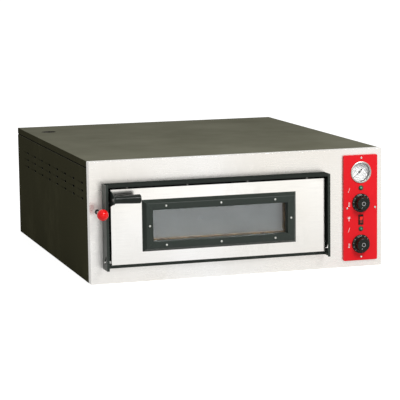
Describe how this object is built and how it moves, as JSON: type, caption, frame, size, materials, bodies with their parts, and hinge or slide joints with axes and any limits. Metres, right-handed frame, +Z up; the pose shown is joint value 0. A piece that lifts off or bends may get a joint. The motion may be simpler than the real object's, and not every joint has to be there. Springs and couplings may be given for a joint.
{
  "type": "deck oven",
  "caption": "Electric deck oven: one low stone-floored chamber behind a drop-down glass door, red control panel at the right, and a pull-rod steam damper at the left.",
  "frame": {"origin": "middle of the underside of the body, on the surface that the oven stands on", "axes": "+Z up, -Y out of the door, +Y to the back, +X to the right as seen from the front, where the control panel is"},
  "size_m": [0.975, 1.2095, 0.385],
  "materials": {
    "stainless_sheet": "satin stainless steel sheet, brushed along its length",
    "zinc_sheet": "plain zinc-coated inner sheet",
    "olive_paint": "semi-gloss dark olive grey paint",
    "black_enamel": "satin black enamel on folded steel",
    "red_paint": "glossy red powder coat",
    "red_plastic": "glossy red plastic",
    "black_plastic": "satin black phenolic plastic",
    "green_lens": "clear green plastic lens",
    "white_dial": "matt white dial or block",
    "oven_glass": "flat oven glass",
    "baking_stone": "rough pale refractory stone",
    "mineral_wool": "pale mineral wool blanket",
    "heater_sheath": "dark oxidised heater tube",
    "turned_steel": "bright turned steel"
  },
  "bodies": {
    "housing": {"front_panel": "stainless_sheet", "chamber_shell": "stainless_sheet", "stone_rail_1": "stainless_sheet", "stone_rail_2": "stainless_sheet", "stone_rail_3": "stainless_sheet", "base_pan": "zinc_sheet", "base_rail_left": "zinc_sheet", "base_rail_right": "zinc_sheet", "partition_wall": "zinc_sheet", "chamber_lamp_housing": "zinc_sheet", "flue_duct": "zinc_sheet", "thermostat_upper": "zinc_sheet", "thermostat_lower": "zinc_sheet", "top_cover": "olive_paint", "left_side_panel": "olive_paint", "right_side_panel": "olive_paint", "rear_panel": "olive_paint", "mouth_plate": "black_enamel", "surround_left": "black_enamel", "surround_right": "black_enamel", "surround_top": "black_enamel", "surround_sill": "black_enamel", "control_fascia": "red_paint", "switch_housing": "black_plastic", "cable_gland": "black_plastic", "pilot_lamp_upper": "green_lens", "pilot_lamp_lower": "green_lens", "gauge_dial": "white_dial", "terminal_block": "white_dial", "gauge_glass": "oven_glass", "chamber_lamp_glass": "oven_glass", "baking_stone_1": "baking_stone", "baking_stone_2": "baking_stone", "insulation_blanket": "mineral_wool", "lower_element_1": "heater_sheath", "lower_element_2": "heater_sheath", "upper_element_1": "heater_sheath", "upper_element_2": "heater_sheath", "gauge_case": "turned_steel"},
    "door": {"door_outer_panel": "stainless_sheet", "door_inner_panel": "stainless_sheet", "door_insulation": "mineral_wool", "window_frame": "black_enamel", "window_glass_outer": "oven_glass", "window_glass_inner": "oven_glass", "window_spacer": "zinc_sheet", "handle_bracket": "black_enamel", "handle_grip": "black_plastic", "hinge_pin_left": "turned_steel", "hinge_pin_right": "turned_steel"},
    "damper": {"damper_rod": "turned_steel", "damper_ball": "red_plastic", "damper_gate": "zinc_sheet"},
    "upper_knob": {"knob_upper": "black_plastic"},
    "lower_knob": {"knob_lower": "black_plastic"},
    "lamp_switch": {"switch_rocker": "red_plastic"},
    "needle": {"gauge_needle": "black_plastic"}
  },
  "joints": [
    {"name": "door_hinge", "type": "hinge", "parent": "housing", "child": "door", "pos_m": [-0.074, -0.573, 0.072], "axis": [1, 0, 0], "range_deg": [0, 90]},
    {"name": "damper_slide", "type": "slide", "parent": "housing", "child": "damper", "axis": [0, -1, 0], "range_m": [0, 0.065]},
    {"name": "upper_knob_turn", "type": "hinge", "parent": "housing", "child": "upper_knob", "pos_m": [0.4125, -0.558, 0.21], "axis": [0, 1, 0], "range_deg": [0, 270]},
    {"name": "lower_knob_turn", "type": "hinge", "parent": "housing", "child": "lower_knob", "pos_m": [0.4125, -0.558, 0.0755], "axis": [0, 1, 0], "range_deg": [0, 270]},
    {"name": "lamp_switch_rock", "type": "hinge", "parent": "housing", "child": "lamp_switch", "pos_m": [0.4125, -0.558, 0.155], "axis": [1, 0, 0], "range_deg": [-16, 0]},
    {"name": "needle_turn", "type": "hinge", "parent": "housing", "child": "needle", "pos_m": [0.4125, -0.5448, 0.31], "axis": [0, 1, 0], "range_deg": [0, 270]}
  ]
}
